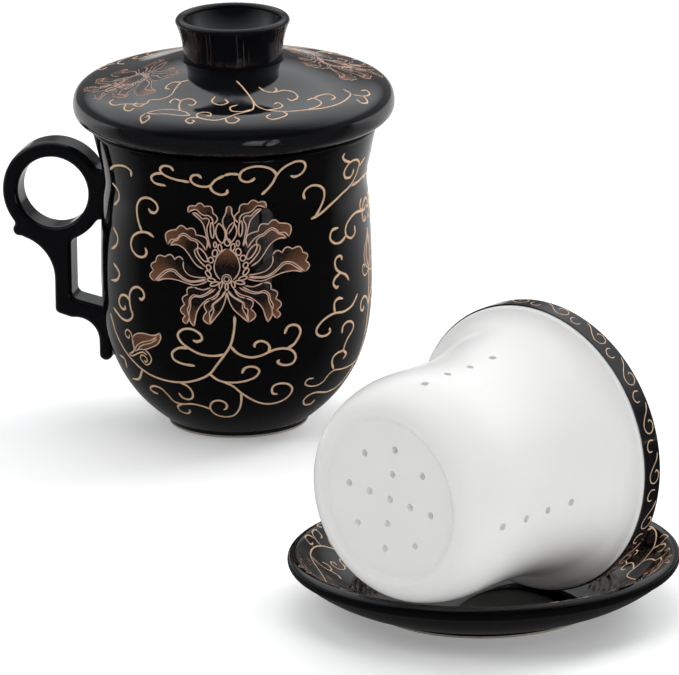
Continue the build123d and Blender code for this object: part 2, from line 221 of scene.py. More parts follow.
# Rings round the bud: middle, half width, half length and lean in degrees
RINGS = (
    (-3.7, 11.7, 0.5, 0.9, 0), (-2.1, 10.6, 0.65, 1.2, 8), (-3.8, 8.8, 0.85, 1.2, -10),
    (-5.2, 6.5, 0.85, 0.95, 0), (-6.0, 4.0, 0.75, 0.95, 20), (-6.1, 1.8, 0.7, 1.25, 35),
    (-5.1, -0.3, 0.6, 1.35, 78), (-4.1, -1.6, 0.6, 1.5, -72), (-2.0, -2.0, 0.5, 1.2, -15),
    (-8.0, 8.2, 1.0, 2.7, 34), (-4.6, 16.5, 0.6, 2.6, 3),
)
SEED = (-1.8, 15.5, 1.6, 3.4, 9)
SEED_POINT = 1.6  # how much its ends come to a point
BUD_SIDE = ((0.1, 10.3), (-1.9, 9.0), (-3.4, 6.9), (-4.1, 3.9), (-3.4, 1.5), (-2.1, -0.1))
SPIKE_SIDE = ((1.0, 24.8), (0.4, 24.0), (0.1, 22.3), (-1.0, 20.0), (-0.7, 18.0), (0.7, 15.3))
SMALL_DROPS = ((0.5, 12.5, 1.0, 1.2, 0), (0.0, -2.6, 0.5, 1.1, 0))
EYE_RINGS = (0.9, 1.6)

# Scrolls on the mug's front: across from the mug's axis, and up from the eye of the lotus
MUG_VINES = (
    # the stem under the lotus, which swings left and up to the handle's side
    ((-0.5, -13.4), (-0.5, -16.0), (-0.9, -19.5), (-2.0, -24.0), (-3.8, -27.1), (-6.7, -31.3),
     (-9.0, -34.4), (-13.0, -36.6), (-18.1, -37.6), (-24.0, -36.9), (-29.8, -34.3), (-35.0, -29.1),
     (-38.6, -22.5), (-40.8, -14.4)),
    # right of the stem
    ((-2.0, -24.3), (-0.1, -26.6), (2.3, -28.0), (5.0, -28.5), (8.1, -27.9), (10.6, -26.7),
     (13.0, -25.8), (15.4, -25.6), (17.5, -26.1), (18.9, -27.5), (19.2, -29.2), (18.3, -31.0),
     (16.4, -31.7), (14.4, -31.4), (13.3, -30.4), (14.0, -29.6)),
    ((10.2, -26.9), (10.8, -25.2), (10.2, -23.7), (8.5, -22.7), (6.8, -22.9), (5.8, -24.0),
     (6.1, -24.9)),
    ((16.4, -25.7), (18.5, -24.4), (20.2, -21.9), (20.9, -19.5), (20.2, -17.8), (18.5, -17.2),
     (16.8, -17.9), (15.7, -20.4)),
    # left of the stem
    ((-3.6, -27.3), (-7.2, -27.8), (-11.6, -27.3), (-15.2, -25.4), (-18.1, -22.9), (-19.2, -20.3),
     (-17.8, -18.5), (-14.9, -18.1), (-11.9, -19.9), (-11.3, -21.8), (-13.0, -22.7), (-14.3, -22.1)),
    ((-15.6, -25.1), (-18.9, -25.1), (-21.1, -26.9), (-20.7, -29.1), (-18.1, -30.7), (-13.8, -31.5)),
    # under the stem
    ((-9.0, -34.4), (-6.7, -36.4), (-4.6, -37.3), (-1.9, -37.6), (1.2, -37.4), (4.0, -36.7),
     (6.4, -35.3), (7.3, -33.4), (6.2, -32.2), (4.0, -31.9), (2.3, -32.7), (1.6, -34.3)),
    ((-4.6, -37.3), (-3.2, -37.9), (-1.2, -39.1), (1.2, -41.4), (3.7, -43.3), (6.4, -44.9),
     (9.5, -45.7), (12.6, -45.4), (15.4, -44.2), (17.3, -42.3), (17.9, -40.3), (16.8, -38.8),
     (14.4, -38.3), (12.1, -39.0), (11.3, -40.3), (11.6, -41.9), (13.2, -42.2)),
    ((1.2, -41.5), (1.2, -44.5), (0.4, -47.6), (-1.2, -49.6), (-3.6, -50.2), (-6.2, -49.8),
     (-8.0, -48.7), (-9.1, -46.6), (-8.1, -44.6), (-5.7, -44.2), (-3.7, -45.5), (-3.7, -47.0),
     (-4.7, -47.6)),
    ((-9.0, -47.3), (-11.5, -46.3), (-14.9, -45.5), (-18.4, -45.5), (-20.8, -44.7), (-22.8, -42.3),
     (-25.2, -39.9), (-27.6, -39.3), (-28.5, -40.1), (-27.6, -41.4), (-25.9, -42.1)),
    ((-18.1, -45.6), (-19.6, -46.3), (-19.4, -47.5), (-18.1, -48.6), (-16.4, -49.0), (-15.6, -48.2),
     (-16.2, -47.5)),
    ((-18.9, -37.6), (-16.4, -38.9), (-14.7, -41.4), (-14.9, -43.3), (-16.4, -43.8), (-18.1, -43.1),
     (-19.3, -41.4)),
    # low on the right
    ((39.2, -8.4), (38.5, -10.1), (37.2, -12.5), (34.7, -14.0), (32.0, -14.2), (29.6, -15.3),
     (27.3, -17.4), (26.0, -19.8), (26.4, -21.4), (27.8, -22.1), (29.6, -21.6), (30.4, -20.5),
     (30.1, -19.3)),
    ((32.1, -14.1), (31.8, -12.2), (32.1, -10.1), (33.4, -9.0), (34.6, -9.4)),
    ((34.2, -21.6), (34.4, -19.5), (35.6, -17.9), (37.0, -17.8), (37.8, -19.2), (37.3, -21.2),
     (35.9, -23.7), (34.9, -26.1), (34.4, -27.8), (32.7, -28.5), (31.3, -29.9), (30.8, -32.0),
     (31.3, -34.3)),
    ((34.4, -27.8), (35.3, -29.2), (34.2, -31.0)),
    ((41.0, -26.1), (40.3, -28.5), (38.9, -31.3), (36.8, -33.4), (34.0, -34.5), (31.3, -34.8),
     (29.6, -36.2), (27.8, -38.6), (25.8, -39.8), (23.3, -39.8), (22.1, -39.0), (23.0, -37.4),
     (24.9, -37.0)),
    ((37.4, -33.4), (35.4, -36.9), (33.0, -40.0), (30.9, -41.7), (28.5, -42.5), (25.8, -42.3),
     (23.3, -43.1), (21.4, -45.2), (21.8, -46.6), (23.7, -46.4), (25.1, -44.9)),
    # round the top, from right to left
    ((-3.1, 40.1), (-1.1, 40.8), (1.7, 40.5)),
    ((6.9, 38.8), (5.8, 37.5), (4.1, 37.0), (2.4, 37.9), (1.9, 39.8), (2.7, 41.9), (4.8, 43.4),
     (7.5, 44.0), (10.3, 43.5), (12.4, 42.2), (13.6, 40.5), (13.9, 39.1)),
    ((8.9, 30.9), (11.0, 33.5), (12.7, 36.3), (13.9, 39.4), (15.5, 41.9), (17.9, 44.0), (20.7, 45.2),
     (22.6, 44.7), (23.3, 42.6), (22.6, 40.3), (21.0, 38.6), (19.5, 38.2), (18.4, 38.8)),
    ((22.9, 27.6), (22.5, 29.7), (23.4, 32.1), (25.5, 33.4), (27.6, 32.8), (29.0, 30.8), (29.0, 27.3),
     (27.9, 24.2), (26.2, 21.0)),
    ((24.8, 20.3), (27.6, 21.7), (31.0, 24.5), (34.5, 27.6), (37.2, 30.4), (39.0, 34.2), (40.0, 38.1),
     (40.2, 40.1), (39.3, 41.6), (37.6, 41.2), (36.2, 39.1), (35.5, 36.7), (36.0, 34.4), (37.2, 34.2),
     (38.1, 35.6), (38.5, 37.7)),
    ((37.6, 41.2), (36.0, 42.2), (35.2, 44.3), (35.9, 45.8)),
    ((37.6, 30.2), (39.7, 31.3), (41.5, 32.9), (43.2, 33.6)),
    ((40.2, 38.2), (41.9, 41.2)),
    # the right side
    ((40.7, 24.5), (40.2, 22.8), (40.5, 20.7), (41.4, 20.2), (41.8, 21.7)),
    ((41.4, 20.2), (39.0, 20.2), (36.9, 18.2), (35.7, 15.5), (36.0, 12.7), (37.4, 11.6), (38.5, 13.0),
     (38.5, 15.8)),
    ((35.8, 12.7), (34.1, 10.8), (32.4, 10.6), (31.0, 12.0), (30.9, 14.1), (31.7, 15.6), (33.4, 16.0)),
    ((34.5, 4.4), (34.1, 5.9), (32.9, 5.7), (32.2, 3.7), (32.8, 1.2), (34.0, 0.0), (35.5, -0.9),
     (36.6, -3.1)),
    ((34.0, 0.0), (32.1, -1.9), (31.7, -4.0), (32.7, -5.2), (33.3, -4.6)),
    # the left side
    ((-19.6, 41.6), (-20.7, 43.4), (-22.9, 43.6), (-24.0, 41.9), (-22.9, 39.7), (-19.6, 37.9),
     (-14.5, 36.8)),
    ((-22.9, 40.2), (-25.5, 39.7), (-26.9, 37.9), (-25.8, 35.5), (-22.2, 34.6)),
    ((-10.5, 38.6), (-11.6, 40.1), (-13.4, 39.9), (-14.1, 37.9), (-13.0, 36.0), (-10.5, 34.9),
     (-7.9, 35.3), (-6.1, 37.9), (-3.1, 40.1)),
    ((-7.9, 35.3), (-6.8, 32.7), (-4.2, 31.3), (-2.4, 32.0), (-2.2, 33.8)),
    ((-40.1, 38.2), (-38.6, 40.5), (-35.7, 41.4), (-33.5, 39.7), (-33.4, 37.1)),
    ((-28.0, 24.5), (-27.2, 23.3), (-25.9, 23.2), (-25.0, 24.6), (-25.4, 26.5), (-27.4, 28.2),
     (-29.0, 28.4), (-30.6, 27.4), (-31.6, 25.2), (-31.7, 22.6), (-31.2, 19.2), (-30.2, 16.0)),
    ((-26.4, 14.4), (-27.7, 15.5), (-29.5, 16.0), (-31.3, 15.6), (-33.0, 14.2), (-33.8, 11.8),
     (-33.5, 9.4), (-32.2, 7.5), (-30.5, 6.9), (-29.2, 7.6), (-28.8, 9.0), (-29.3, 10.4)),
    ((-39.4, 32.4), (-37.5, 29.4), (-37.5, 26.1), (-39.0, 23.9)),
    ((-39.4, 16.2), (-38.0, 12.8), (-38.6, 9.9), (-40.1, 8.4)),
    ((-39.5, 3.6), (-37.7, 0.3), (-38.6, -2.3), (-40.3, -2.6)),
    ((-31.5, -7.7), (-30.8, -8.3), (-29.9, -7.2), (-30.4, -5.0), (-31.9, -3.9), (-33.4, -4.4),
     (-34.5, -6.4), (-34.6, -9.0), (-34.2, -12.2), (-33.7, -13.8), (-34.1, -15.3), (-35.5, -16.3),
     (-37.2, -15.6), (-38.6, -13.9), (-39.8, -12.2)),
    ((-34.6, -9.0), (-35.6, -7.5), (-37.0, -7.3), (-37.9, -8.9), (-37.8, -10.8), (-36.8, -12.3),
     (-36.0, -12.0), (-36.2, -10.9)),
    ((-38.1, -29.0), (-36.6, -30.1), (-36.1, -31.9), (-35.8, -33.4)),
    ((-30.9, -33.5), (-32.2, -37.1), (-34.2, -37.2)),
)
# A leaf: one side, the other side, and the scrolls round it
MUG_LEAF = (
    ((-25.1, -19.9), (-26.1, -20.7), (-27.8, -20.9), (-30.4, -20.4), (-32.4, -20.6), (-33.9, -22.2),
     (-33.8, -24.4), (-33.2, -27.0)),
    ((-25.1, -19.9), (-24.8, -21.6), (-25.8, -23.9), (-28.1, -25.3), (-30.1, -26.1), (-31.8, -26.1),
     (-33.2, -27.0)),
    (
        ((-33.2, -27.0), (-32.6, -25.0), (-30.9, -23.6), (-28.1, -22.7), (-25.8, -21.2)),
        ((-32.4, -26.2), (-30.7, -24.6), (-27.9, -23.6), (-25.8, -21.9)),
        ((-30.1, -26.1), (-28.7, -27.6), (-27.9, -29.6), (-28.5, -31.1), (-29.5, -31.7),
         (-30.9, -30.4), (-31.5, -29.0), (-30.9, -28.2), (-29.9, -28.7), (-29.2, -30.0),
         (-29.7, -30.7), (-30.4, -29.8)),
        ((-35.2, -28.2), (-34.1, -28.7), (-32.1, -27.6), (-30.7, -27.1), (-29.3, -28.1)),
        ((-33.9, -22.4), (-33.5, -24.6), (-33.3, -26.0), (-33.9, -27.4), (-35.0, -27.9)),
        ((-34.0, -22.0), (-34.6, -20.2), (-35.6, -19.4), (-36.2, -20.5), (-35.8, -22.0),
         (-35.0, -22.4), (-34.9, -21.2)),
    ),
)
# Half of a bud opposite the handle, where the front drawing meets its mirror image: across from
# there, and up the wall from where its measured part begins
SIDE_BUD = (
    ((0.0, 70.0), (-0.8, 67.4), (-3.2, 65.0), (-4.6, 62.0), (-3.8, 59.0), (-1.8, 57.2), (0.0, 56.4)),
    ((0.0, 70.0), (-0.2, 67.0), (-1.3, 64.0), (-1.7, 61.2), (-1.2, 58.8), (0.0, 56.4)),
    (
        ((0.0, 69.0), (-0.9, 66.0), (-2.0, 63.6), (-2.4, 61.2), (-1.7, 58.8), (0.0, 56.4)),
        ((0.0, 56.4), (-2.4, 55.0), (-4.8, 55.2), (-6.2, 57.0), (-5.7, 58.8), (-4.4, 58.6),
         (-4.5, 57.4)),
    ),
)
SIDE_VINES = (
    ((0.0, 79.6), (-2.6, 78.4), (-4.4, 75.6), (-3.6, 73.0), (-1.8, 72.8), (-1.6, 74.4)),
    ((0.0, 44.0), (-2.2, 47.0), (-5.2, 48.2), (-7.6, 46.8), (-7.4, 44.4), (-5.6, 43.8), (-5.0, 45.2)),
)
SIDE_STEM = ((0.0, 56.4), (0.0, 46.0), (0.0, 36.0), (0.0, 26.6))

# Scrolls on the front half of the lid, seen from above: to the right, and towards the back
LID_VINES = (
    ((1.1, -23.0), (3.6, -27.5), (6.4, -34.5), (6.1, -39.5), (3.6, -41.3), (0.7, -43.0), (-2.4, -45.3),
     (-5.6, -46.2), (-10.6, -44.2), (-11.5, -42.2), (-9.9, -40.6), (-7.1, -41.5), (-7.1, -43.4),
     (-8.6, -43.2)),
    ((6.1, -39.2), (2.9, -40.9), (-0.3, -40.3), (-0.8, -37.8), (1.5, -36.4)),
    ((-2.4, -45.3), (-1.7, -47.5), (0.7, -47.7), (2.0, -46.2), (0.4, -44.6)),
    ((-10.6, -44.2), (-13.5, -43.8), (-14.9, -44.9), (-13.5, -46.5), (-12.2, -45.9), (-12.9, -45.0)),
    ((-16.7, -38.2), (-17.0, -34.5), (-16.0, -31.0), (-13.5, -31.0), (-11.7, -33.5), (-12.8, -35.2),
     (-14.2, -34.4)),
    ((-16.4, -31.8), (-18.4, -29.6), (-19.9, -31.0), (-19.6, -32.2)),
    ((6.6, -34.0), (7.1, -36.0), (10.0, -39.0), (13.5, -40.0), (18.5, -39.5), (23.5, -37.5),
     (28.5, -35.0), (33.0, -30.8), (36.3, -24.8), (37.2, -20.0), (34.9, -17.0)),
    ((15.7, -40.0), (17.1, -41.8), (15.0, -44.2), (12.1, -45.4), (10.6, -44.2), (11.8, -42.4)),
    ((10.7, -39.6), (14.6, -37.7), (15.7, -35.8), (14.3, -34.0), (12.8, -35.3)),
    ((23.5, -37.5), (27.0, -34.0), (27.9, -30.5), (25.6, -28.3), (23.4, -30.5)),
    ((25.6, -28.3), (27.4, -25.5), (30.6, -23.3), (32.4, -25.5), (30.8, -28.2)),
    ((8.2, -26.0), (10.3, -28.0), (12.8, -28.0), (16.4, -26.0), (19.2, -26.2), (20.5, -29.0),
     (18.5, -31.8), (17.0, -30.6)),
    ((12.8, -28.0), (13.9, -26.5), (13.2, -25.2)),
    ((-5.6, -31.0), (-6.6, -34.0), (-4.0, -36.2), (-1.6, -34.9), (-2.6, -32.8)),
    ((-13.8, -20.0), (-16.3, -20.2), (-18.0, -23.0), (-19.9, -27.0), (-23.4, -28.4), (-26.3, -27.6),
     (-27.4, -30.0), (-31.2, -29.0), (-34.8, -27.6), (-37.6, -27.0), (-39.2, -24.0), (-37.8, -22.2)),
    ((-27.2, -29.6), (-29.5, -31.6), (-31.4, -29.4), (-30.4, -27.8)),
    ((-34.0, -28.2), (-34.4, -31.6), (-32.6, -33.4), (-31.2, -32.0)),
    ((-16.3, -20.2), (-19.6, -19.2), (-21.4, -21.6), (-20.0, -23.0)),
    ((38.0, -21.0), (41.4, -20.4), (43.4, -17.2), (42.2, -14.8), (40.6, -16.2)),
    ((41.4, -20.4), (42.6, -23.6), (40.6, -25.6), (39.0, -24.2)),
)
LID_LEAF = (
    ((-13.5, -42.3), (-14.9, -39.7), (-18.4, -37.2), (-23.4, -36.2), (-27.4, -37.0)),
    ((-13.5, -42.3), (-17.0, -41.6), (-21.3, -39.6), (-25.2, -38.4), (-27.4, -37.0)),
    (
        ((-27.4, -37.0), (-29.2, -38.6), (-28.6, -40.8), (-26.6, -40.6), (-26.6, -38.9),
         (-27.8, -39.2)),
    ),
)

# Scrolls on both sides of a lotus on the saucer's rim: along the rim from the lotus, at a radius of
# SAUCER_MIDWAY, and out from the saucer's middle
SAUCER_SCROLLS = (
    # on one side
    ((-42.8, 44.8), (-41.1, 46.2), (-39.9, 48.0), (-38.8, 50.5), (-36.8, 51.9), (-34.3, 53.1),
     (-30.8, 53.9), (-27.0, 54.0), (-23.7, 53.6), (-21.5, 52.6), (-19.3, 51.2), (-16.0, 49.6),
     (-11.0, 48.6), (-6.0, 48.4)),
    ((-38.8, 50.5), (-39.0, 52.1), (-40.1, 53.7), (-42.4, 55.0), (-43.4, 56.4), (-42.5, 57.3),
     (-40.9, 57.7), (-39.9, 57.4), (-40.0, 56.7), (-41.0, 56.3)),
    ((-43.4, 56.4), (-45.1, 56.9), (-47.3, 56.8), (-49.2, 55.9), (-50.0, 54.9), (-49.8, 54.1),
     (-48.6, 53.7), (-47.5, 54.0), (-47.1, 54.8)),
    ((-49.2, 55.8), (-50.6, 56.1), (-51.1, 57.0), (-50.3, 57.7), (-49.1, 57.7), (-48.7, 57.1),
     (-49.3, 56.8)),
    ((-34.3, 53.1), (-34.1, 54.3), (-34.3, 55.6), (-35.0, 56.5), (-36.5, 56.8), (-37.8, 56.3),
     (-38.2, 55.3), (-37.9, 54.7), (-36.9, 54.6)),
    ((-33.9, 55.3), (-32.4, 56.5), (-30.4, 56.9), (-29.3, 56.5), (-29.2, 55.4), (-30.2, 54.7),
     (-31.4, 54.9)),
    ((-39.8, 48.0), (-37.2, 48.0), (-35.0, 47.4), (-34.0, 46.1), (-33.0, 45.1), (-31.2, 44.8),
     (-29.2, 45.9), (-28.9, 47.4), (-29.7, 48.7), (-31.0, 48.6), (-31.3, 47.7), (-30.8, 47.1)),
    ((-33.8, 45.8), (-34.4, 44.6), (-36.1, 44.0), (-38.0, 44.5), (-37.9, 45.5), (-36.3, 46.0)),
    ((-23.7, 53.3), (-23.1, 51.4), (-23.2, 49.7), (-23.6, 48.0), (-25.1, 47.4), (-26.6, 48.3),
     (-26.8, 49.5), (-25.8, 50.5)),
    ((-23.6, 48.0), (-24.0, 46.4), (-23.3, 44.9), (-21.3, 43.8)),
    ((-45.6, 49.0), (-44.6, 48.8), (-43.8, 49.5), (-44.2, 50.6), (-45.6, 50.9), (-46.9, 50.4),
     (-48.0, 49.3), (-48.2, 47.7), (-48.0, 46.8), (-46.4, 46.2), (-45.4, 45.2)),
    # on the other side
    ((37.9, 55.4), (34.3, 56.1), (30.6, 56.4), (27.3, 56.2), (24.8, 55.4), (22.6, 54.2), (21.4, 53.2),
     (20.5, 51.3), (19.4, 49.5), (18.7, 47.5), (17.9, 45.5), (15.5, 44.0), (12.0, 44.6), (7.0, 46.4)),
    ((29.9, 56.3), (32.0, 55.3), (33.5, 54.0), (33.9, 52.6), (33.0, 51.7), (31.3, 51.7), (30.6, 52.6),
     (30.4, 53.5)),
    ((33.4, 51.9), (33.6, 51.0), (34.7, 49.9), (36.6, 49.6), (38.0, 50.4), (37.9, 51.5), (36.8, 52.1),
     (35.7, 51.6)),
    ((21.4, 53.4), (19.3, 55.0), (19.0, 56.6), (19.5, 57.5), (20.8, 57.5), (22.1, 56.8), (22.7, 55.8)),
    ((18.9, 55.1), (16.6, 55.9), (14.8, 55.8), (14.7, 54.9), (16.4, 53.8)),
    ((19.2, 49.5), (17.9, 50.8), (15.4, 51.8), (12.3, 52.5), (10.8, 53.8), (9.3, 55.4), (9.0, 56.7),
     (10.5, 56.4), (12.1, 55.3)),
    ((10.4, 53.9), (7.9, 54.3), (6.3, 53.8), (5.1, 52.8)),
    ((18.4, 46.4), (20.9, 47.0), (23.5, 47.2), (24.9, 46.4), (25.1, 45.1), (23.9, 43.8), (22.6, 43.8),
     (22.0, 44.8)),
    ((25.1, 46.0), (27.3, 46.4), (29.5, 47.5), (30.2, 49.0), (29.4, 50.1), (27.9, 50.5), (27.2, 49.8),
     (27.6, 49.0)),
)

# One repeat of the collar's border: along the collar, and from the shoulder towards the rim
COLLAR_SCROLLS = (
    ((-1.6, 4.9), (-1.9, 3.3), (-1.0, 2.1), (0.4, 1.7), (1.6, 2.5), (1.5, 3.9)),
    ((2.3, 6.1), (4.5, 5.3), (6.9, 3.3), (9.2, 2.1), (11.2, 2.7), (11.7, 4.4), (10.6, 5.8), (8.8, 6.1),
     (7.7, 5.2), (8.3, 4.4)),
)


def add_camera():
    """A long lens a little above the set, turned so that the handle points left and away."""
    data = bpy.data.cameras.new("camera")
    data.sensor_width = SENSOR_WIDTH
    data.lens = FOCAL_PIXELS * SENSOR_WIDTH / IMAGE_WIDTH
    data.clip_end = VIEW_END
    camera = bpy.data.objects.new("camera", data)
    bpy.context.scene.collection.objects.link(camera)
    turn = Matrix.Rotation(AZIMUTH, 4, "Z") @ Matrix.Rotation(math.pi / 2 - ELEVATION, 4, "X")
    back = Matrix.Rotation(ROLL, 4, "Z") @ Matrix.Translation((0, 0, CAMERA_DISTANCE))
    camera.matrix_world = Matrix.Translation(AIM) @ turn @ back
    bpy.context.scene.camera = camera


# --- Shader nodes ---


def new_material(name):
    """A material, its node tree and its Principled shader."""
    material = bpy.data.materials.new(name)
    material.use_nodes = True
    tree = material.node_tree
    return material, tree, tree.nodes["Principled BSDF"]


def feed(tree, node, values):
    """Each input, by name or number, takes what another node's socket gives, or a constant."""
    for key, value in values.items():
        if isinstance(value, bpy.types.NodeSocket):
            tree.links.new(value, node.inputs[key])
        else:
            node.inputs[key].default_value = value


def add_node(tree, kind, values=None, **settings):
    node = tree.nodes.new(kind)
    for key, value in settings.items():
        setattr(node, key, value)
    feed(tree, node, values or {})
    return node


def calculate(tree, operation, first, second):
    return add_node(tree, "ShaderNodeMath", {0: first, 1: second}, operation=operation).outputs[0]


def vector_math(tree, operation, first, second=None):
    values = {0: first} if second is None else {0: first, 1: second}
    node = add_node(tree, "ShaderNodeVectorMath", values, operation=operation)
    return node.outputs["Value" if operation in ("DOT_PRODUCT", "LENGTH") else "Vector"]


def part(tree, vector, axis):
    """One of a vector's numbers: X, Y or Z."""
    return add_node(tree, "ShaderNodeSeparateXYZ", {0: vector}).outputs[axis]


def map_range(tree, value, low, high, to_low, to_high):
    values = {"Value": value, "From Min": low, "From Max": high, "To Min": to_low, "To Max": to_high}
    return add_node(tree, "ShaderNodeMapRange", values).outputs["Result"]


# A Mix node has sockets for each type of value, all of them there at once: plain numbers at 2 and 3,
# colours at 6 and 7.
def mix_value(tree, share, first, second):
    return add_node(tree, "ShaderNodeMix", {0: share, 2: first, 3: second}, data_type="FLOAT").outputs[0]


def mix_colour(tree, share, first, second):
    first, second = ((*colour, 1) if isinstance(colour, tuple) else colour for colour in (first, second))
    return add_node(tree, "ShaderNodeMix", {0: share, 6: first, 7: second}, data_type="RGBA").outputs[2]


def mix_shader(tree, share, first, second):
    return add_node(tree, "ShaderNodeMixShader", {0: share, 1: first, 2: second}).outputs[0]


def object_coordinates(tree):
    return add_node(tree, "ShaderNodeTexCoord").outputs["Object"]


def noise(tree, scale, detail=2.0):
    values = {"Vector": object_coordinates(tree), "Scale": scale, "Detail": detail}
    return add_node(tree, "ShaderNodeTexNoise", values).outputs["Fac"]


def wander(tree, scale, low, high):
    """A value that goes up and down between two levels from place to place."""
    return map_range(tree, noise(tree, scale), *NOISE_RANGE, low, high)


def bump(tree, scale, distance, strength):
    """The normal of a slightly uneven surface."""
    values = {"Height": noise(tree, scale), "Distance": distance, "Strength": strength}
    return add_node(tree, "ShaderNodeBump", values).outputs["Normal"]


def towards_camera(tree, place):
    """How far a place or a direction reaches towards the camera's side of the table."""
    return vector_math(tree, "DOT_PRODUCT", place, (math.sin(AZIMUTH), -math.cos(AZIMUTH), 0))


# --- Finishes ---


def inside_of_mug(tree):
    """1 on the mug's inner wall and floor, and 0 or less on its outside and under its foot."""
    place = object_coordinates(tree)
    level = part(tree, place, "Z")
    normal = add_node(tree, "ShaderNodeNewGeometry").outputs["Normal"]
    outward = vector_math(tree, "NORMALIZE", vector_math(tree, "MULTIPLY", place, (1, 1, 0)))
    faces_out = vector_math(tree, "DOT_PRODUCT", outward, normal)
    on_wall = calculate(tree, "LESS_THAN", faces_out, WALL_FACES_IN)
    faces_up = calculate(tree, "GREATER_THAN", part(tree, normal, "Z"), FLOOR_FACES_UP)
    low_down = calculate(tree, "LESS_THAN", level, MUG_FLOOR_TOP)
    on_floor = calculate(tree, "MULTIPLY", faces_up, low_down)
    under_foot = calculate(tree, "LESS_THAN", level, MUG_FOOT_TOP)
    return calculate(tree, "SUBTRACT", calculate(tree, "MAXIMUM", on_wall, on_floor), under_foot)


def infuser_axis():
    heading = math.radians(INFUSER_HEADING)
    return Vector((math.cos(heading), math.sin(heading), 0))


def inside_of_collar(tree):
    """1 on the collar's inner side, told by the distance from the infuser's axis."""
    from_base = vector_math(tree, "SUBTRACT", object_coordinates(tree), Vector(INFUSER_BASE) * MM)
    across = vector_math(tree, "CROSS_PRODUCT", from_base, infuser_axis())
    return calculate(tree, "LESS_THAN", vector_math(tree, "LENGTH", across), COLLAR_INSIDE)


def white_colour(tree):
    return mix_colour(tree, noise(tree, scale=24, detail=3), *WHITES)


def black_glaze(name, blacks=GLAZE_BLACKS, inside=None, bare_foot=False, ior=GLAZE_IOR):
    """Deep gloss black. A piece may be white inside, and left bare where its foot ring stands."""
    material, tree, shader = new_material(name)
    colour = mix_colour(tree, noise(tree, scale=38, detail=3), *blacks)
    roughness = wander(tree, scale=120, low=0.045, high=0.085)
    if inside:
        colour = mix_colour(tree, inside(tree), colour, white_colour(tree))
    if bare_foot:
        level = part(tree, object_coordinates(tree), "Z")
        bare = calculate(tree, "LESS_THAN", level, FOOT_GLAZE_START)
        clay = mix_colour(tree, noise(tree, scale=900, detail=4), *CLAYS)
        colour = mix_colour(tree, bare, colour, clay)
        roughness = mix_value(tree, bare, roughness, CLAY_ROUGHNESS)
    feed(tree, shader, {
        "Base Color": colour,
        "Roughness": roughness,
        "IOR": ior,
        "Normal": bump(tree, scale=60, distance=0.00006, strength=0.4),
    })
    return material


def white_glaze():
    """Softer gloss white, which lets a little light in."""
    material, tree, shader = new_material("white_glaze")
    feed(tree, shader, {
        "Base Color": white_colour(tree),
        "Roughness": wander(tree, scale=90, low=0.16, high=0.24),
        "IOR": GLAZE_IOR,
        "Subsurface Weight": 0.12,
        "Subsurface Radius": (0.004, 0.0035, 0.003),
        "Subsurface Scale": 1.0,
        "Normal": bump(tree, scale=50, distance=0.0001, strength=0.35),
    })
    return material


def gilt(name, dull, bright):
    """Dull, slightly metallic paint."""
    material, tree, shader = new_material(name)
    feed(tree, shader, {
        "Base Color": mix_colour(tree, noise(tree, scale=300, detail=3), dull, bright),
        "Metallic": 0.12,
        "Roughness": wander(tree, scale=900, low=0.30, high=0.45),
    })
    return material


def petal_shade():
    """Brown at the tip of a petal, running out into the black glaze."""
    material, tree, shader = new_material("petal_shade")
    from_tip = part(tree, add_node(tree, "ShaderNodeUVMap", uv_map="petal").outputs["UV"], "X")
    grainy = calculate(tree, "ADD", from_tip, wander(tree, scale=2500, low=-0.18, high=0.18))
    brown_share = map_range(tree, grainy, 0.0, 1.0, 1.0, 0.0)
    feed(tree, shader, {
        "Base Color": mix_colour(tree, brown_share, PETAL_BLACK, PETAL_BROWN),
        "Roughness": 0.2,
    })
    return material


def paint(node, material):
    """The node's own slots take the material."""
    data = nodes[node].data
    for index in range(len(data.materials)):
        data.materials[index] = material


def paint_pottery():
    """Every CAD node in its glaze."""
    plain_black = black_glaze("black_glaze")
    paint("mug_handle", plain_black)
    paint("lid_knob", plain_black)
    paint("lid_dome", black_glaze("black_glaze_lid", ior=LID_IOR))
    # The mug takes the darker copy of the blacks: painted shade
    white_inside = black_glaze("black_glaze_white_inside", SHADED_BLACKS, inside_of_mug, bare_foot=True)
    paint("mug_body", white_inside)
    paint("infuser_collar", black_glaze("black_glaze_collar", inside=inside_of_collar))
    # The saucer takes the darker copy of the blacks too: painted shade
    paint("saucer", black_glaze("black_glaze_saucer", SHADED_BLACKS, bare_foot=True))
    paint("infuser_basket", white_glaze())


# --- Studio ---


def add_floor():
    """A white table. In the glazes it shows as a painted reflection, a glow that is dark near the
    camera, bright behind the set and dark far off.
    """
    bpy.ops.mesh.primitive_plane_add(size=FLOOR_SIZE, location=(0, 0, FLOOR_LEVEL))
    floor = bpy.context.active_object
    floor.name = "floor"
    material, tree, shader = new_material("floor")
    feed(tree, shader, {
        "Roughness": FLOOR_ROUGHNESS,
        "Base Color": mix_colour(tree, noise(tree, scale=3), *FLOOR_WHITES),
    })
    glow = add_node(tree, "ShaderNodeEmission", {"Color": WHITE_LIGHT, "Strength": FLOOR_GLOW})
    brighter = add_node(tree, "ShaderNodeAddShader", {0: shader.outputs[0], 1: glow.outputs[0]})
    near = towards_camera(tree, object_coordinates(tree))
    near_level = map_range(tree, near, *FLOOR_CHANGE, *FLOOR_LEVELS)
    fade = map_range(tree, near, *FLOOR_FADE, 1.0, LOW_ROOM)
    level = calculate(tree, "MULTIPLY", near_level, fade)
    # Painted reflection: in the glazes the floor glows at these levels instead of showing its own lit
    # white
    painted_floor_reflection = add_node(tree, "ShaderNodeEmission", {"Color": WHITE_LIGHT, "Strength": level})
    rays = add_node(tree, "ShaderNodeLightPath").outputs
    unseen = mix_shader(tree, rays["Is Glossy Ray"], shader.outputs[0], painted_floor_reflection.outputs[0])
    surface = mix_shader(tree, rays["Is Camera Ray"], unseen, brighter.outputs[0])
    feed(tree, tree.nodes["Material Output"], {"Surface": surface})
    floor.data.materials.append(material)
    floor.select_set(False)


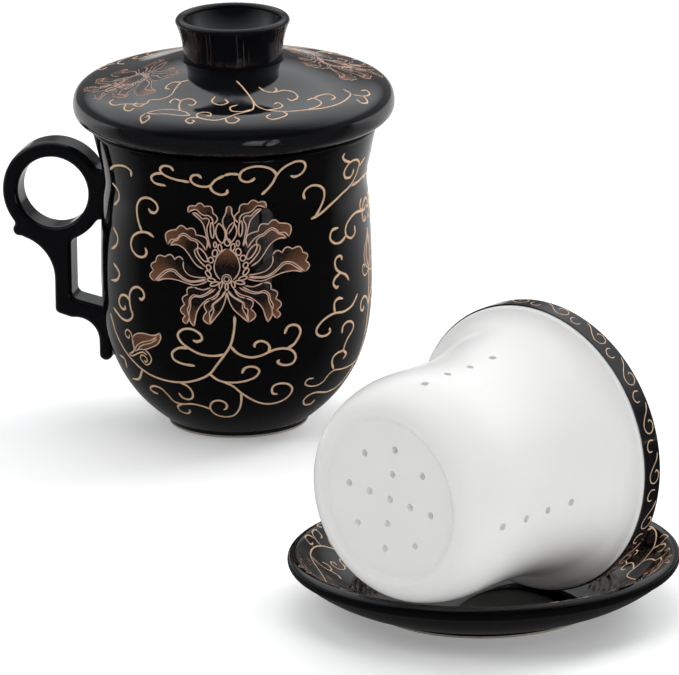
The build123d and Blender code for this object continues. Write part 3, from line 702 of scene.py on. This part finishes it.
def add_lamp(name, place, aim, size, power):
    data = bpy.data.lights.new(name, "AREA")
    data.shape = "RECTANGLE"
    data.size, data.size_y = size
    data.energy = power
    lamp = bpy.data.objects.new(name, data)
    bpy.context.scene.collection.objects.link(lamp)
    lamp.location = place
    lamp.rotation_euler = (Vector(aim) - Vector(place)).to_track_quat("-Z", "Y").to_euler()
    lamp.visible_glossy = False  # the glazes show the room's soft brightness, and no lamp's edges


def add_world():
    """A pale backdrop, and a soft room that is bright behind and above and dark on the camera's side."""
    world = bpy.data.worlds.new("studio")
    world.use_nodes = True
    tree = world.node_tree
    direction = add_node(tree, "ShaderNodeTexCoord").outputs["Generated"]
    level = map_range(tree, towards_camera(tree, direction), *ROOM_CHANGE, ROOM_BEHIND, ROOM_IN_FRONT)
    low_share = map_range(tree, part(tree, direction, "Z"), *LOW_ROOM_CHANGE, LOW_ROOM, 1.0)
    rays = add_node(tree, "ShaderNodeLightPath").outputs
    share = mix_value(tree, rays["Is Glossy Ray"], 1.0, low_share)
    room = tree.nodes["Background"]
    feed(tree, room, {"Color": ROOM_COLOUR, "Strength": calculate(tree, "MULTIPLY", level, share)})
    backdrop = add_node(tree, "ShaderNodeBackground", {"Strength": 1.0})
    surface = mix_shader(tree, rays["Is Camera Ray"], room.outputs[0], backdrop.outputs[0])
    feed(tree, tree.nodes["World Output"], {"Surface": surface})
    bpy.context.scene.world = world


# --- Drawing on the flat board ---


def smooth(points, spacing=0.6):
    """Points close together on a smooth line (centripetal Catmull-Rom) through the drawn ones."""
    drawn = np.array(points, float)
    padded = np.vstack((2 * drawn[0] - drawn[1], drawn, 2 * drawn[-1] - drawn[-2]))
    line = []
    for before, start, end, after in zip(padded, padded[1:], padded[2:], padded[3:]):
        length = np.linalg.norm(end - start)
        t1 = np.linalg.norm(start - before) ** 0.5
        t2 = t1 + length ** 0.5
        t3 = t2 + np.linalg.norm(after - end) ** 0.5
        count = max(2, round(length / spacing))
        for t in np.linspace(t1, t2, count, endpoint=False):
            a = before + (start - before) * t / t1
            b = start + (end - start) * (t - t1) / (t2 - t1)
            c = end + (after - end) * (t - t2) / (t3 - t2)
            d = a + (b - a) * t / t2
            e = b + (c - b) * (t - t1) / (t3 - t1)
            line.append(d + (e - d) * (t - t1) / (t2 - t1))
    line.append(drawn[-1])
    return np.array(line)


def scalloped(notches, steps=8):
    """The edge of a petal, with a rounded lobe between each two notches."""
    line = []
    for start, end in zip(np.array(notches), np.array(notches[1:])):
        along = end - start
        outward = LOBE_BULGE * np.array((-along[1], along[0]))
        for share in np.linspace(0, 1, steps, endpoint=False):
            line.append(start + share * along + math.sin(math.pi * share) * outward)
    line.append(np.array(notches[-1]))
    return np.array(line)


def ring(x, y, half_width, half_length, lean, point, steps=18):
    """A closed ellipse, or a seed shape where its ends come to a point."""
    turn = math.radians(lean)
    line = []
    for angle in np.linspace(0, 2 * math.pi, steps, endpoint=False):
        across = half_width * math.copysign(abs(math.cos(angle)) ** point, math.cos(angle))
        along = half_length * math.sin(angle)
        line.append((
            x + across * math.cos(turn) - along * math.sin(turn),
            y + across * math.sin(turn) + along * math.cos(turn),
        ))
    return np.array(line)


def mirrored(line):
    """The other side of the bud or the spike, over their leaning axis."""
    axis = np.array((math.sin(LOTUS_LEAN), math.cos(LOTUS_LEAN)))
    return 2 * np.outer(line @ axis, axis) - line


def right_half(line):
    """Where the right half of the lotus repeats the left one."""
    x, y = line.T
    wider = RIGHT_WIDER + RIGHT_SPREAD * np.maximum(0, -y)
    return np.column_stack((-x * wider, y - x * RIGHT_TILT))


def rotated(points, angle):
    turn = np.array(((math.cos(angle), math.sin(angle)), (-math.sin(angle), math.cos(angle))))
    return points @ turn


def set_out(points, scale, radius, angle):
    """Points made smaller, moved out from the middle and turned round it."""
    return rotated(points * scale + np.array((0, radius)), angle)


def evenly(line, count):
    """The line at a count of points, evenly spread along it."""
    steps = np.linalg.norm(np.diff(line, axis=0), axis=1)
    along = np.concatenate(([0], np.cumsum(steps)))
    places = np.linspace(0, along[-1], count)
    return np.column_stack([np.interp(places, along, line[:, axis]) for axis in (0, 1)])


class Pattern:
    """Vine lines and outlines (points, half width, closed), and shaded patches (two sides, reach)."""

    def __init__(self):
        self.lines = []
        self.outlines = []
        self.patches = []

    def draw(self, drawings, half_width):
        for drawn in drawings:
            self.lines.append((smooth(drawn), half_width, False))

    def outline(self, points, half_width):
        self.outlines.append((points, half_width, False))

    def ring(self, numbers, half_width, point=1.0):
        self.outlines.append((ring(*numbers, point), half_width, True))

    def patch(self, side, other_side, reach, count=26):
        self.patches.append((evenly(side, count), evenly(other_side, count), reach))

    def add(self, other):
        self.lines += other.lines
        self.outlines += other.outlines
        self.patches += other.patches

    def moved(self, place):
        """A copy with its points moved by a function of them."""
        copy = Pattern()
        copy.lines = [(place(points), half, closed) for points, half, closed in self.lines]
        copy.outlines = [(place(points), half, closed) for points, half, closed in self.outlines]
        copy.patches = [(place(side), place(far), reach) for side, far, reach in self.patches]
        return copy


def half_lotus(half_width):
    """The petals and the rings on the left of the lotus."""
    half = Pattern()
    for frill, stalk, fold, lower, edge in PETALS:
        lobes = scalloped(frill)
        half.outline(lobes, half_width)
        half.patch(lobes, smooth(fold), FRILL_REACH)
        half.patch(smooth(lower), smooth(edge), PETAL_REACH)
        for drawn in (stalk, fold, lower, edge):
            if drawn:
                half.outline(smooth(drawn), half_width)
    for numbers in RINGS:
        half.ring(numbers, half_width)
    half.ring(SEED, half_width, SEED_POINT)
    return half


def lotus(half_width=FINE):
    """The lotus, with its eye at the origin."""
    pattern = half_lotus(half_width)
    pattern.add(pattern.moved(right_half))
    for drawn, reach in ((BUD_SIDE, BUD_REACH), (SPIKE_SIDE, SPIKE_REACH)):
        side = smooth(drawn)
        pattern.outline(side, half_width)
        pattern.outline(mirrored(side), half_width)
        pattern.patch(side, mirrored(side), reach)
    for numbers in SMALL_DROPS:
        pattern.ring(numbers, half_width)
    for radius in EYE_RINGS:
        pattern.ring((0, 0, radius, radius, 0), half_width)
    return pattern.moved(lambda points: points * np.array((LOTUS_WIDTH, LOTUS_HEIGHT)))


def leaf(pattern, drawing, shaded=True):
    """Adds a leaf or a bud: its sides, the brown between them, and the scrolls round it."""
    side, other_side, scrolls = drawing
    pattern.outline(smooth(side), FINE)
    pattern.outline(smooth(other_side), FINE)
    if shaded:
        pattern.patch(smooth(side), smooth(other_side), LEAF_REACH)
    pattern.draw(scrolls, FINE)


# --- From the board to the pottery ---


class Skin:
    """A surface of revolution of a CAD node: where a drawn point goes, and how far it stands proud.

    With a reference radius, a drawing runs round the skin and along its profile. Without one it lies on
    the skin as seen from above, and the profile runs from the edge inwards.
    """

    def __init__(self, profile, matrix=Matrix.Identity(4), reference=None):
        self.radii, self.heights = np.array(profile, float).T
        steps = np.hypot(np.diff(self.radii), np.diff(self.heights))
        self.along = np.concatenate(([0], np.cumsum(steps)))
        self.matrix = np.array(matrix)
        self.reference = reference
        self.out_r = np.gradient(self.heights, self.along)
        self.out_z = -np.gradient(self.radii, self.along)

    def at(self, along, values):
        """What the values along the profile are at these places on it."""
        return np.interp(along, self.along, values)

    def wrap(self, points):
        """Board points (across, up, proud) in millimetres, as places in metres."""
        x, y, proud = points.T
        if self.reference:
            angle, along = x / self.reference, y
        else:
            angle = np.arctan2(y, x)
            along = np.interp(np.hypot(x, y), self.radii[::-1], self.along[::-1])
        radius = self.at(along, self.radii) + proud * self.at(along, self.out_r)
        level = self.at(along, self.heights) + proud * self.at(along, self.out_z)
        ones = np.full(len(x), 1 / MM)
        local = np.column_stack((radius * np.cos(angle), radius * np.sin(angle), level, ones))
        return (local * MM @ self.matrix.T)[:, :3]


def tree_of(node):
    return BVHTree.FromObject(nodes[node], bpy.context.evaluated_depsgraph_get())


def side_profile(node, low, high, step=1.0):
    """Radius and height up the outside of a node that stands on the Z axis, met from +X."""
    tree = tree_of(node)
    profile = []
    for level in np.arange(low, high, step):
        hit = tree.ray_cast(Vector((SIDE_RAY_START * MM, 0, level * MM)), Vector((-1, 0, 0)))[0]
        profile.append((hit.x / MM, level))
    return profile


def top_profile(node, centre, high, low, step=0.5):
    """Radius and height over the top of a node, from its edge inwards, met from above."""
    tree = tree_of(node)
    profile = []
    for radius in np.arange(high, low, -step):
        start = Vector((centre[0] + radius * MM, centre[1], TOP_RAY_START * MM))
        hit = tree.ray_cast(start, Vector((0, 0, -1)))[0]
        profile.append((radius, hit.z / MM))
    return profile


def choose(piece):
    bpy.ops.object.select_all(action="DESELECT")
    piece.select_set(True)
    bpy.context.view_layer.objects.active = piece


def new_piece(name, data):
    """A chosen object with the data."""
    piece = bpy.data.objects.new(name, data)
    bpy.context.scene.collection.objects.link(piece)
    choose(piece)
    return piece


def merge_points():
    """The chosen piece's doubled points become one, and its normals agree."""
    bpy.ops.object.mode_set(mode="EDIT")
    bpy.ops.mesh.select_all(action="SELECT")
    bpy.ops.mesh.remove_doubles(threshold=MERGE_DISTANCE)
    bpy.ops.mesh.normals_make_consistent(inside=False)
    bpy.ops.object.mode_set(mode="OBJECT")


def face_up(piece):
    """Turns over the flat faces that look down."""
    bpy.ops.object.mode_set(mode="EDIT")
    bpy.ops.mesh.select_all(action="DESELECT")
    bpy.ops.object.mode_set(mode="OBJECT")
    for face in piece.data.polygons:
        face.select = face.normal.z < 0
    bpy.ops.object.mode_set(mode="EDIT")
    bpy.ops.mesh.flip_normals()
    bpy.ops.object.mode_set(mode="OBJECT")


def lay(piece, place):
    """Moves every vertex of a piece by a function of all of them."""
    vertices = piece.data.vertices
    flat = np.empty(3 * len(vertices))
    vertices.foreach_get("co", flat)
    vertices.foreach_set("co", place(flat.reshape(-1, 3)).ravel())
    piece.data.update()


def width_share(from_end, closed):
    """A line's width over its usual one, so many points from its nearer end."""
    return 1 if closed or from_end >= len(LINE_ENDS) else LINE_ENDS[from_end]


def draw_lines(name, lines, skin):
    """Raised lines on a skin, as one piece."""
    data = bpy.data.curves.new(name, "CURVE")
    data.dimensions = "3D"
    data.bevel_depth = 1
    data.bevel_resolution = 1
    data.use_fill_caps = True
    for points, half_width, closed in lines:
        spline = data.splines.new("POLY")
        spline.points.add(len(points) - 1)
        spline.use_cyclic_u = closed
        for index, (x, y) in enumerate(points):
            from_end = min(index, len(points) - 1 - index)
            spline.points[index].co = (x, y, 0, 1)
            spline.points[index].radius = width_share(from_end, closed) * half_width
    piece = new_piece(name, data)
    bpy.ops.object.convert(target="MESH")
    merge_points()
    flatten = np.array((1, 1, LINE_FLATNESS))
    lay(piece, lambda points: skin.wrap(points * flatten))
    bpy.ops.object.shade_smooth()
    piece.select_set(False)
    return piece


def draw_patches(name, patches, skin, rows=4):
    """Thin shaded patches on a skin, as one piece. Its UV map runs from the tip of a petal inwards."""
    corners, faces, shades = [], [], []
    for side, other_side, reach in patches:
        first = len(corners)
        count = len(side)
        for row in range(rows + 1):
            share = row / rows
            corners += [(*point, 0) for point in side * (1 - share) + other_side * share]
            shades += [(min(1, step / (count - 1) / reach), share) for step in range(count)]
        for row in range(rows):
            for step in range(count - 1):
                a = first + row * count + step
                faces.append((a, a + 1, a + count + 1, a + count))
    data = bpy.data.meshes.new(name)
    data.from_pydata(corners, [], faces)
    chart = data.uv_layers.new(name="petal")
    for corner in data.loops:
        chart.data[corner.index].uv = shades[corner.vertex_index]
    piece = new_piece(name, data)
    merge_points()
    face_up(piece)
    thick = piece.modifiers.new("thickness", "SOLIDIFY")
    thick.thickness = PATCH_THICKNESS
    thick.offset = PATCH_OFFSET
    bpy.ops.object.modifier_apply(modifier=thick.name)
    lay(piece, skin.wrap)
    piece.select_set(False)
    return piece


# --- Decoration ---


def decorate(name, pattern, skin, body, finishes):
    """The pattern as pieces that ride on a body."""
    made = [(draw_lines(name + "_gilding", pattern.lines, skin), finishes["gold"])]
    if pattern.outlines:
        made.append((draw_lines(name + "_outlines", pattern.outlines, skin), finishes["rose_gold"]))
    if pattern.patches:
        made.append((draw_patches(name + "_petals", pattern.patches, skin), finishes["petal"]))
    for piece, material in made:
        piece.data.materials.clear()
        piece.data.materials.append(material)
        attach(piece, body)


def on_the_mug(skin, points):
    """Where the front drawing lies on the mug: round it and up its side, in millimetres.

    The drawing is seen from above, and from more so near the foot than near the lip, and what lies
    nearer looks larger. It ends opposite the handle, where its mirror image begins.
    """
    dip = np.radians(DIP_AT_FOOT + (DIP_AT_LIP - DIP_AT_FOOT) * skin.heights / skin.heights[-1])
    furthest = math.pi / 2 - AZIMUTH

    def seen(across):
        depth = np.sqrt(np.maximum(skin.radii ** 2 - across ** 2, 0))
        return skin.heights * np.cos(dip) - depth * np.sin(dip)

    eye_level = np.interp(EYE_HEIGHT, skin.heights, seen(0))
    found = []
    for x, y in points:
        if y > NEAR_LIP:
            y = NEAR_LIP + NEAR_LIP_RISE * (y - NEAR_LIP)
        across, level = x, EYE_HEIGHT
        for _ in range(FITTING_ROUNDS):
            radius = np.interp(level, skin.heights, skin.radii)
            angle = min(math.asin(max(-1, min(1, across / radius))), furthest)
            across = x * (1 - NEARNESS * math.cos(angle))
            level = np.interp(eye_level + DRAWING_RISE * y, seen(across), skin.heights)
        around = skin.reference * (angle + AZIMUTH - math.pi / 2)
        found.append((around, np.interp(level, skin.heights, skin.along)))
    return np.array(found)


def decorate_mug(finishes):
    """The front drawing, and its mirror image on the back."""
    skin = Skin(side_profile("mug_body", *MUG_SIDE), reference=MUG_REFERENCE)
    drawn = lotus().moved(lambda points: points + np.array((LOTUS_ASIDE, 0)))
    drawn.draw(MUG_VINES, VINE)
    leaf(drawn, MUG_LEAF)
    pattern = drawn.moved(lambda points: on_the_mug(skin, points))
    leaf(pattern, SIDE_BUD)
    pattern.draw(SIDE_VINES, VINE)
    pattern.add(pattern.moved(lambda points: points * np.array((-1, 1))))
    pattern.draw([SIDE_STEM], VINE)
    decorate("mug", pattern, skin, "mug", finishes)


def decorate_lid(finishes):
    """The front half's scrolls and lotus, and the same turned half round."""
    skin = Skin(top_profile("lid_dome", (0, 0), *LID_TOP))
    half = Pattern()
    half.draw(LID_VINES, LID_VINE)
    leaf(half, LID_LEAF, shaded=False)
    flower = lotus(LID_FINE)
    pattern = Pattern()
    for angle in (AZIMUTH, AZIMUTH + math.pi):
        flower_angle = angle + math.radians(LID_LOTUS_TURN)
        pattern.add(half.moved(lambda points: rotated(points, angle)))
        pattern.add(flower.moved(
            lambda points: set_out(points, LID_LOTUS_SCALE, LID_LOTUS_RADIUS, flower_angle)))
    decorate("lid", pattern, skin, "lid", finishes)


def decorate_saucer(finishes):
    """Lotuses on the rim, with scrolls on both sides of each."""
    centre = (SAUCER_CENTRE[0] * MM, SAUCER_CENTRE[1] * MM)
    skin = Skin(top_profile("saucer", centre, *SAUCER_RIM), Matrix.Translation((*centre, 0)))
    pattern = Pattern()
    flower = lotus(SAUCER_FINE)
    for degrees in SAUCER_FLOWERS:
        middle = AZIMUTH + math.radians(degrees)
        for scroll in SAUCER_SCROLLS:
            along, radius = np.array(scroll).T
            angle = middle + along / SAUCER_MIDWAY
            bent = np.column_stack((radius * np.cos(angle), radius * np.sin(angle)))
            pattern.draw([bent], SAUCER_VINE)
        flower_angle = middle - math.pi / 2
        pattern.add(flower.moved(
            lambda points: set_out(points, SAUCER_LOTUS_SCALE, SAUCER_LOTUS_RADIUS, flower_angle)))
    decorate("saucer", pattern, skin, "saucer", finishes)


def decorate_collar(finishes):
    """One pair of scrolls, repeated round the collar of the lying infuser."""
    axis = infuser_axis()
    up = Vector((0, 0, 1))
    turn = Matrix((up, axis.cross(up), axis)).transposed().to_4x4()
    matrix = Matrix.Translation(Vector(INFUSER_BASE) * MM) @ turn
    skin = Skin([(COLLAR_RADIUS, level) for level in COLLAR_LEVELS], matrix, COLLAR_RADIUS)
    pitch = 2 * math.pi * COLLAR_RADIUS / COLLAR_REPEATS
    pattern = Pattern()
    for repeat in range(COLLAR_REPEATS):
        along = np.array((repeat * pitch, 0))
        pattern.draw([np.array(scroll) + along for scroll in COLLAR_SCROLLS], COLLAR_VINE)
    decorate("collar", pattern, skin, "infuser", finishes)


def add_decoration():
    """Gilt lines, outlines and shaded petals on the mug, the lid, the saucer and the collar."""
    finishes = {
        "gold": gilt("gilt", *GILTS),
        "rose_gold": gilt("rose_gilt", *ROSE_GILTS),
        "petal": petal_shade(),
    }
    for decorate_piece in (decorate_mug, decorate_lid, decorate_saucer, decorate_collar):
        decorate_piece(finishes)


bpy.ops.object.select_all(action="DESELECT")
add_camera()
add_world()
add_floor()
for lamp in LAMPS:
    add_lamp(*lamp)
paint_pottery()
add_decoration()

bpy.context.scene.view_settings.view_transform = "Standard"
